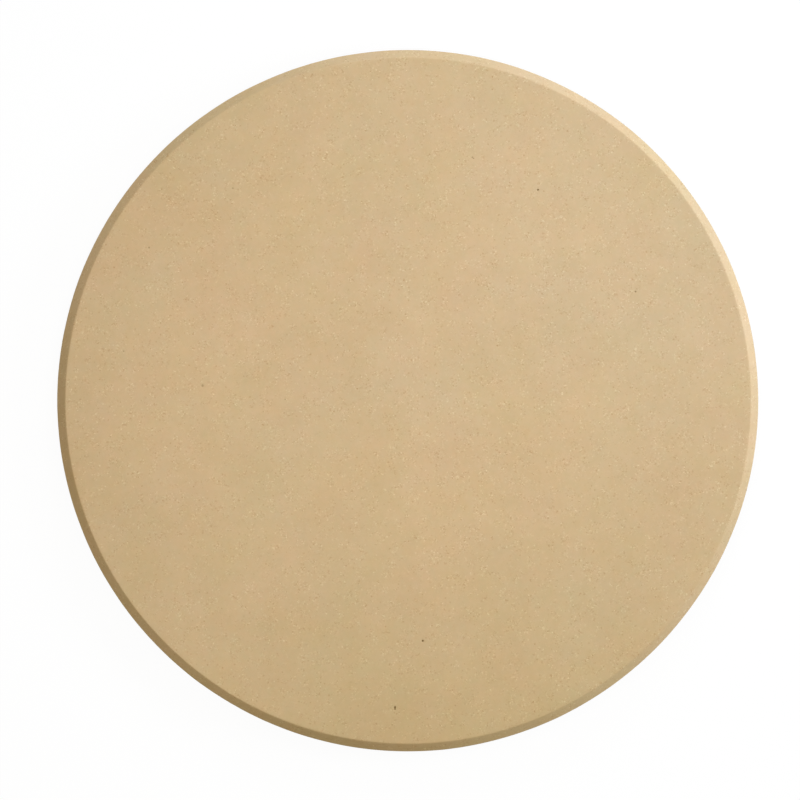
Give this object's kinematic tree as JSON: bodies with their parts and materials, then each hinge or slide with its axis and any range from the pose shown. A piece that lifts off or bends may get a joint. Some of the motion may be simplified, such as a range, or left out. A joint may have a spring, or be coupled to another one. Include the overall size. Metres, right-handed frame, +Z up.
{
  "type": "pizza stone",
  "caption": "Round slab of fired clay with a bevelled upper edge on low arc-shaped feet. It holds oven heat and bakes pizza or bread on its flat face.",
  "frame": {"origin": "middle of the disc, in the plane that the feet stand on", "axes": "+Z up through the middle of the disc, square to the baking face; +X to the right of the picture and +Y to its top, each midway between two feet"},
  "size_m": [0.4064, 0.4064, 0.016],
  "materials": {
    "fired_clay": "matte"
  },
  "bodies": {
    "root": {"baking_stone": "fired_clay"}
  },
  "joints": []
}
